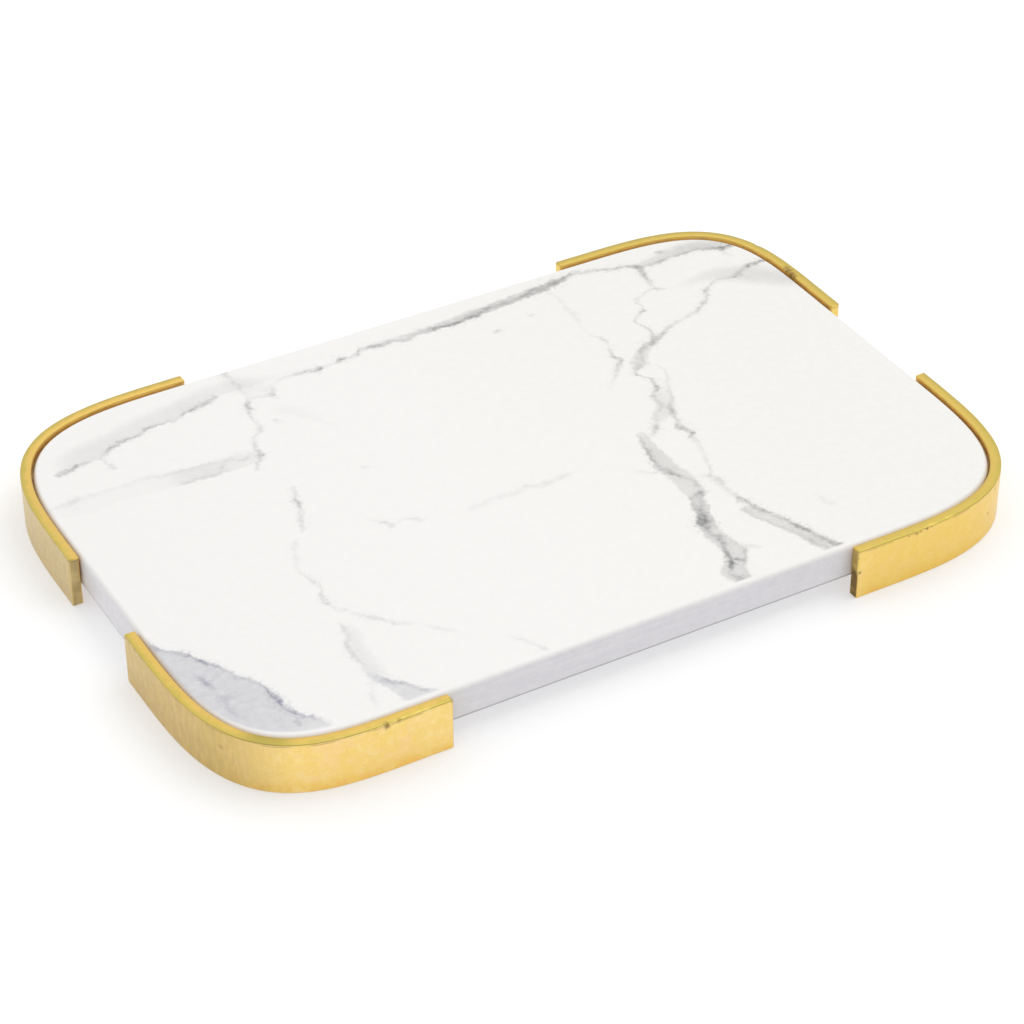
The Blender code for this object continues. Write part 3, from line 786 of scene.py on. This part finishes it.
def marble_material():
    nodes = Nodes(bpy.data.materials.new("honed_white_marble"))
    place = nodes.scaled(nodes.object_place(), 1.0 / MM)
    centred = (0.5, 0.5, 0.5)
    wander = nodes.vector("SUBTRACT", nodes.noise(place, 0.16, 2.0, 0.55, colour=True), centred)
    fray = nodes.vector("SUBTRACT", nodes.noise(place, 0.45, 3.0, 0.55, colour=True), centred)
    drift = nodes.vector("ADD", nodes.scaled(wander, 1.8), nodes.scaled(fray, 2.9))
    warped = nodes.vector("ADD", place, drift)
    grit = nodes.remap(nodes.noise(place, 0.5, 4.0, 0.6), 0.34, 0.66, 0.6, 1.4, smooth=False)
    clumps = nodes.noise(nodes.vector("ADD", place, (31.0, 17.0, 5.0)), 0.24, 2.0, 0.5)
    clumps = nodes.remap(clumps, 0.35, 0.65, 0.66, 1.14)
    grit = nodes.math("MULTIPLY", grit, clumps)
    cloud = nodes.remap(nodes.noise(place, 0.33, 5.0, 0.65), 0.3, 0.7, 0.74, 1.24, smooth=False)
    flecks = nodes.remap(nodes.noise(place, 0.75, 3.0, 0.6), 0.46, 0.64)
    clear = None
    for kind, points in VEINS:
        mask = vein_mask(nodes, kind, points, warped, grit, cloud, flecks)
        left = nodes.math("SUBTRACT", 1.0, mask)
        clear = left if clear is None else nodes.math("MULTIPLY", clear, left)
    dark = nodes.math("SUBTRACT", 1.0, clear)
    # The veins stop at a bare white margin inside the slab's edge.
    inside = nodes.add("ShaderNodeAttribute", attribute_name="inside_margin").outputs["Fac"]
    dark = nodes.math("MULTIPLY", dark, nodes.remap(inside, -0.0008, 0.0006))
    # The front left corner's veins are bluish.
    from_front_left = nodes.vector("DOT_PRODUCT", place, (1.0, 1.0, 0.0))
    vein_colour = nodes.mix(nodes.remap(from_front_left, -200.0, -110.0), VEIN_BLUE, VEIN_GREY)
    # Painted shade: the face darkens a little towards the right.
    to_right = nodes.remap(nodes.vector("DOT_PRODUCT", place, (1.0, 0.0, 0.0)), -40.0, 130.0)
    milky = nodes.remap(cloud, 0.8, 1.2)
    face_base = nodes.mix(to_right, nodes.mix(milky, *FACE_LEFT), nodes.mix(milky, *FACE_RIGHT_SHADED))
    # The sides and the underside are only sawn and rubbed down, with faint saw streaks. They are painted
    # greyer than the face, which is painted shade.
    saw_marks = nodes.noise(nodes.vector("MULTIPLY", place, (0.03, 0.7, 0.7)), 1.0, 4.0, 0.6)
    streaks = nodes.remap(saw_marks, 0.3, 0.7, 0.0, 0.45)
    side_tone = nodes.math("ADD", nodes.remap(cloud, 0.75, 1.25, 0.0, 0.55), streaks)
    shaded_side_base = nodes.mix(side_tone, *SHADED_SAWN_SIDE)
    on_face = nodes.remap(nodes.height_of(place), SLAB_HIGH.z / MM - 1.6, SLAB_HIGH.z / MM - 0.2)
    base = nodes.mix(on_face, shaded_side_base, face_base)
    # The slab's lower edge is darker in a thin line.
    above_underside = nodes.math("SUBTRACT", nodes.height_of(place), SLAB_LOW.z / MM)
    low_edge_line = nodes.remap(above_underside, 0.7, 1.25, 0.7, 0.0)
    low_edge_line = nodes.math("MULTIPLY", low_edge_line, nodes.remap(above_underside, 0.02, 0.3))
    base = nodes.mix(low_edge_line, base, LOW_EDGE_GREY)
    nodes.feed(nodes.shader.inputs["Base Color"], nodes.mix(dark, base, vein_colour))
    polish = nodes.remap(nodes.noise(place, 0.35, 3.0, 0.6), 0.3, 0.7, 0.30, 0.42, smooth=False)
    nodes.feed(nodes.shader.inputs["Roughness"], polish)
    crystals = nodes.noise(place, 3.5, 3.0, 0.7)
    sawn = nodes.bump(nodes.mix(on_face, saw_marks, (0.5, 0.5, 0.5, 1.0)), 0.3, 0.0001)
    nodes.feed(nodes.shader.inputs["Normal"], nodes.bump(crystals, 0.12, 0.00003, sawn))
    nodes.shader.inputs["Specular IOR Level"].default_value = 0.3
    return nodes.owner


# ---------------------------------------------------------------- brass and adhesive

# Marks on the bands: where each one is, on the tray in millimetres, its radius and how dark it is.
BRASS_MARKS = [
    ((-101.4, -102.2, 18.2), 1.3, 0.8),
    ((-97.2, -102.3, 18.6), 1.0, 0.45),
    ((-79.0, -101.8, 18.3), 0.8, 0.6),
    ((91.4, -102.3, 18.1), 0.6, 0.4),
    ((94.6, -102.3, 18.0), 0.7, 0.6),
    ((96.1, -102.3, 18.3), 0.6, 0.5),
    ((98.8, -102.3, 18.4), 0.6, 0.8),
    ((100.6, -102.3, 18.6), 0.5, 0.6),
    ((72.4, -102.4, 10.4), 0.8, 0.7),
    ((71.8, -102.0, 16.2), 0.6, 0.4),
    ((129.5, -96.0, 9.5), 0.8, 0.4),
    ((133.5, -93.6, 16.8), 1.0, 0.4),
    ((-146.5, -80.0, 12.5), 1.2, 0.25),
    ((149.8, 56.0, 19.0), 1.5, 0.6),
    ((149.4, 54.0, 18.9), 1.6, 0.8),
    ((149.0, 51.6, 18.7), 1.7, 0.85),
    ((148.9, 49.6, 18.6), 1.3, 0.7),
]
CLEAN_BRASS = (0.94, 0.69, 0.225, 1.0)
PALE_BRASS = (1.0, 0.79, 0.40, 1.0)
PINK_BRASS = (0.97, 0.67, 0.36, 1.0)
DEEP_BRASS = (0.92, 0.58, 0.11, 1.0)
RIM_OLIVE = (0.60, 0.475, 0.105, 1.0)
RIM_GOLD = (0.80, 0.545, 0.135, 1.0)
RIGHT_GOLD = (0.80, 0.56, 0.10, 1.0)
OLIVE_TARNISH = (0.40, 0.34, 0.07, 1.0)
INNER_SHADED_BRASS = (0.92, 0.60, 0.17, 1.0)
# Dull brass for the speckles and for the painted shade on the bands' left faces.
DULL_AND_LEFT_SHADE_FRONT = (0.60, 0.44, 0.175, 1.0)
LEFT_SHADE_REAR = (0.60, 0.475, 0.245, 1.0)
END_SHADE = (0.20, 0.125, 0.03, 1.0)
STAIN_AND_SHADE = (0.26, 0.17, 0.06, 1.0)
TARNISH_SPOT = (-136.0, -90.5, 19.0)
BAR_TOP = TRAY_HIGH.z / MM


def brass_material():
    nodes = Nodes(bpy.data.materials.new("raw_brass"))
    place = nodes.scaled(nodes.object_place(), 1.0 / MM)
    bar_place = nodes.add("ShaderNodeAttribute", attribute_name="bar_place").outputs["Vector"]
    bar = nodes.scaled(bar_place, 1.0 / MM)
    split = nodes.add("ShaderNodeSeparateXYZ")
    nodes.feed(split.inputs[0], bar)
    height, inset = split.outputs["Y"], split.outputs["Z"]
    brushing = nodes.noise(nodes.vector("MULTIPLY", bar, (0.12, 2.2, 2.2)), 1.0, 4.0, 0.65)
    blotches = nodes.noise(place, 0.3, 6.0, 0.7)
    blush = nodes.noise(nodes.vector("ADD", place, (70.0, 30.0, 11.0)), 0.16, 5.0, 0.65)
    speckle = nodes.noise(place, 1.6, 3.0, 0.65)

    tone = nodes.mix(nodes.remap(blotches, 0.4, 0.72, 0.0, 0.62), CLEAN_BRASS, PALE_BRASS)
    tone = nodes.mix(nodes.remap(blush, 0.44, 0.72, 0.0, 0.6), tone, PINK_BRASS)
    # Painted reflection: the brass is deeper low on the bands, where the darker floor close by would be
    # reflected.
    painted_foot_shade = nodes.math("MULTIPLY", nodes.remap(height, 0.0, 6.0, 1.0, 0.0), nodes.remap(blush, 0.35, 0.55))
    tone = nodes.mix(nodes.math("MULTIPLY", painted_foot_shade, 0.75), tone, DEEP_BRASS)
    tone = nodes.mix(nodes.remap(speckle, 0.52, 0.75, 0.0, 0.3), tone, DULL_AND_LEFT_SHADE_FRONT)
    tone = nodes.mix(nodes.remap(brushing, 0.5, 0.72, 0.0, 0.3), tone, DEEP_BRASS)

    # The right-hand bands are a deeper gold.
    to_right = nodes.remap(nodes.vector("DOT_PRODUCT", place, (1.0, 0.0, 0.0)), 40.0, 95.0, 0.0, 0.5)
    tone = nodes.mix(to_right, tone, RIGHT_GOLD)

    # The bands' left faces are painted darker and duller, in faint streaks that run up and down, as painted
    # reflection of the darker floor on that side.
    to_left = nodes.remap(nodes.vector("DOT_PRODUCT", place, (-1.0, 0.0, 0.0)), 128.0, 150.0)
    to_back = nodes.remap(nodes.vector("DOT_PRODUCT", place, (0.0, 1.0, 0.0)), -30.0, 30.0)
    shade_streaks = nodes.noise(nodes.vector("MULTIPLY", place, (1.0, 0.5, 0.2)), 1.0, 4.0, 0.6)
    painted_left_shade = nodes.math("MULTIPLY", to_left, nodes.remap(shade_streaks, 0.25, 0.75, 0.66, 0.96))
    tone = nodes.mix(painted_left_shade, tone, nodes.mix(to_back, DULL_AND_LEFT_SHADE_FRONT, LEFT_SHADE_REAR))

    # The inner face, in the narrow joint beside the slab, is painted a deeper, warm gold as painted shade.
    # The upper edge is olive on its outer half, and more so on the right-hand bands and at one tarnished
    # spot.
    inner = nodes.remap(inset, 3.4, 3.75)
    tone = nodes.mix(nodes.math("MULTIPLY", inner, 0.8), tone, INNER_SHADED_BRASS)
    across_rim = nodes.math("MULTIPLY_ADD", nodes.math("SUBTRACT", blotches, 0.5), 5.0, inset)
    rim_tone = nodes.mix(nodes.remap(across_rim, 0.3, 2.6), RIM_OLIVE, RIM_GOLD)
    tarnish = nodes.add("ShaderNodeVectorMath", operation="DISTANCE")
    nodes.feed(tarnish.inputs[0], place)
    tarnish.inputs[1].default_value = TARNISH_SPOT
    tarnished = nodes.remap(tarnish.outputs["Value"], 2.0, 12.0, 0.75, 0.0)
    rim_tone = nodes.mix(tarnished, rim_tone, OLIVE_TARNISH)
    rim_tone = nodes.mix(to_right, rim_tone, RIM_OLIVE)
    tone = nodes.mix(nodes.remap(height, BAR_TOP - 0.4, BAR_TOP - 0.05, 0.0, 0.92), tone, rim_tone)

    # A fine dark line is painted in patches under the rounded upper edge, as painted reflection of the dark
    # room in front.
    under_edge = nodes.math("ABSOLUTE", nodes.math("SUBTRACT", height, BAR_TOP - 0.75))
    patches = nodes.remap(nodes.noise(place, 0.11, 3.0, 0.6), 0.47, 0.6, 0.05, 0.5)
    painted_edge_shade = nodes.math("MULTIPLY", nodes.remap(under_edge, 0.0, 0.4, 1.0, 0.0), patches)
    tone = nodes.mix(painted_edge_shade, tone, STAIN_AND_SHADE)

    # Painted shade on the cut ends, darkest low down, and the separate marks.
    painted_end_shade = nodes.add("ShaderNodeAttribute", attribute_name="end_shade").outputs["Fac"]
    uneven = nodes.remap(nodes.noise(place, 0.25, 3.0, 0.6), 0.35, 0.6, 0.7, 1.3)
    painted_end_shade = nodes.math("MULTIPLY", painted_end_shade, uneven)
    painted_end_shade = nodes.math("MULTIPLY", painted_end_shade, nodes.remap(height, 7.0, 13.0, 1.15, 0.4))
    tone = nodes.mix(nodes.math("MINIMUM", painted_end_shade, 1.0), tone, END_SHADE)
    stain = None
    ragged = nodes.math("MULTIPLY", nodes.math("SUBTRACT", speckle, 0.5), 1.6)
    for spot, radius, strength in BRASS_MARKS:
        gap = nodes.add("ShaderNodeVectorMath", operation="DISTANCE")
        nodes.feed(gap.inputs[0], place)
        gap.inputs[1].default_value = spot
        near = nodes.math("MULTIPLY_ADD", ragged, radius, gap.outputs["Value"])
        mark = nodes.remap(near, 0.2 * radius, 1.3 * radius, strength, 0.0)
        stain = mark if stain is None else nodes.math("MAXIMUM", stain, mark)
    tone = nodes.mix(stain, tone, STAIN_AND_SHADE)

    nodes.feed(nodes.shader.inputs["Base Color"], tone)
    nodes.shader.inputs["Metallic"].default_value = 1.0
    rough = nodes.remap(nodes.noise(place, 0.5, 4.0, 0.65), 0.3, 0.7, 0.28, 0.44, smooth=False)
    rough = nodes.math("ADD", rough, nodes.math("MULTIPLY", stain, 0.3), clamp=True)
    nodes.feed(nodes.shader.inputs["Roughness"], rough)
    dimples = nodes.noise(place, 0.35, 4.0, 0.6)
    relief = nodes.bump(dimples, 0.3, 0.0003)
    relief = nodes.bump(brushing, 0.25, 0.00006, relief)
    relief = nodes.bump(speckle, 0.15, 0.00006, relief)
    nodes.feed(nodes.shader.inputs["Normal"], relief)
    return nodes.owner


def adhesive_material():
    nodes = Nodes(bpy.data.materials.new("cured_epoxy"))
    place = nodes.scaled(nodes.object_place(), 1.0 / MM)
    cloudy = nodes.noise(place, 0.4, 3.0, 0.6)
    colour = nodes.mix(nodes.remap(cloudy, 0.35, 0.65), (0.30, 0.20, 0.09, 1.0), (0.45, 0.36, 0.22, 1.0))
    nodes.feed(nodes.shader.inputs["Base Color"], colour)
    nodes.feed(nodes.shader.inputs["Roughness"], nodes.remap(cloudy, 0.3, 0.7, 0.3, 0.5))
    nodes.feed(nodes.shader.inputs["Normal"], nodes.bump(cloudy, 0.3, 0.0002))
    return nodes.owner


# ---------------------------------------------------------------- room

def floor_material():
    nodes = Nodes(bpy.data.materials.new("pale_floor"))
    place = nodes.object_place()
    drift = nodes.remap(nodes.noise(place, 2.0, 2.0, 0.5), 0.3, 0.7)
    tone = nodes.mix(drift, (0.68, 0.68, 0.68, 1.0), (0.66, 0.66, 0.66, 1.0))
    nodes.feed(nodes.shader.inputs["Base Color"], tone)
    nodes.shader.inputs["Roughness"].default_value = 0.9
    nodes.shader.inputs["Specular IOR Level"].default_value = 0.1
    nodes.shader.inputs["Emission Color"].default_value = (1.0, 1.0, 1.0, 1.0)
    nodes.shader.inputs["Emission Strength"].default_value = 0.38
    return nodes.owner


def make_floor():
    half_width = 4.0
    shape = bmesh.new()
    bmesh.ops.create_grid(shape, x_segments=4, y_segments=4, size=half_width)
    bmesh.ops.translate(shape, verts=shape.verts, vec=(0.0, 0.0, TRAY_LOW.z))
    floor = object_from(shape, "floor", floor_material(), 30)


def make_key_light():
    """A large weak lamp, high on the right and a little in front."""
    lamp = bpy.data.lights.new("key", "AREA")
    lamp.shape = "SQUARE"
    lamp.size = 1.2
    lamp.energy = 6.0
    obj = bpy.data.objects.new("key", lamp)
    obj.location = (0.7, -0.2, 1.4)
    obj.rotation_euler = obj.location.to_track_quat("Z", "Y").to_euler()
    bpy.context.scene.collection.objects.link(obj)


def make_world():
    """Soft white room: brightest overhead, bright behind the tray, dimmer on the near side."""
    nodes = Nodes(bpy.data.worlds.new("studio"))
    split = nodes.add("ShaderNodeSeparateXYZ")
    nodes.feed(split.inputs[0], nodes.add("ShaderNodeTexCoord").outputs["Generated"])
    overhead = nodes.remap(split.outputs["Z"], 0.1, 0.9, 0.36, 0.84)
    behind = nodes.remap(split.outputs["Y"], -0.2, 0.6, 0.0, 0.36)
    background = nodes.tree.nodes["Background"]
    nodes.feed(background.inputs["Strength"], nodes.math("ADD", overhead, behind))
    background.inputs["Color"].default_value = (1.0, 1.0, 1.0, 1.0)
    bpy.context.scene.world = nodes.owner


def make_camera():
    """The photograph's viewing angle, with its slight roll."""
    azimuth = math.radians(-29.622)
    elevation = math.radians(36.048)
    roll = math.radians(0.185)
    distance = 1.032567
    target = Vector((-0.002013, -0.004227, 0.0))
    level = math.cos(elevation)
    back = Vector((math.sin(azimuth) * level, -math.cos(azimuth) * level, math.sin(elevation)))
    right = (-back).cross(Vector((0.0, 0.0, 1.0))).normalized()
    down = (-back).cross(right)
    turned_right = math.cos(roll) * right + math.sin(roll) * down
    turned_up = math.sin(roll) * right - math.cos(roll) * down
    camera = bpy.data.cameras.new("camera")
    camera.sensor_width = 36.0
    camera.lens = 106.53
    obj = bpy.data.objects.new("camera", camera)
    rotation = Matrix((turned_right, turned_up, back)).transposed().to_4x4()
    obj.matrix_world = Matrix.Translation(target + back * distance) @ rotation
    bpy.context.scene.collection.objects.link(obj)
    bpy.context.scene.camera = obj


# Each band's nicks, as (run, depth, half length), and how much painted shade its two end faces get.
WEAR_AND_END_SHADE = {
    "front_left": ([(0.118, 0.0002, 0.0011), (0.123, 0.00015, 0.0016)], (0.2, 0.3)),
    "front_right": ([(0.100, 0.0002, 0.0008), (0.107, 0.0002, 0.0009)], (0.2, 0.9)),
    "rear_right": ([(0.050, 0.0002, 0.001)], (0.0, 0.0)),
    "rear_left": ([(0.012, 0.00025, 0.0008)], (0.3, 0.2)),
}


def main():
    bpy.context.scene.view_settings.view_transform = "Standard"
    make_camera()
    make_world()
    make_key_light()
    make_floor()

    marble = marble_material()
    brass = brass_material()
    adhesive = adhesive_material()

    slab = make_slab(marble)
    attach(slab, "root")
    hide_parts("marble_slab")
    for name, corner in CORNERS.items():
        band = make_band(name, corner, WEAR_AND_END_SHADE[name], brass)
        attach(band, "root")
        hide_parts("brass_band_" + name)
        bead = make_bead(name, corner, adhesive)
        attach(bead, "root")
        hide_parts("adhesive_bed_" + name)


main()
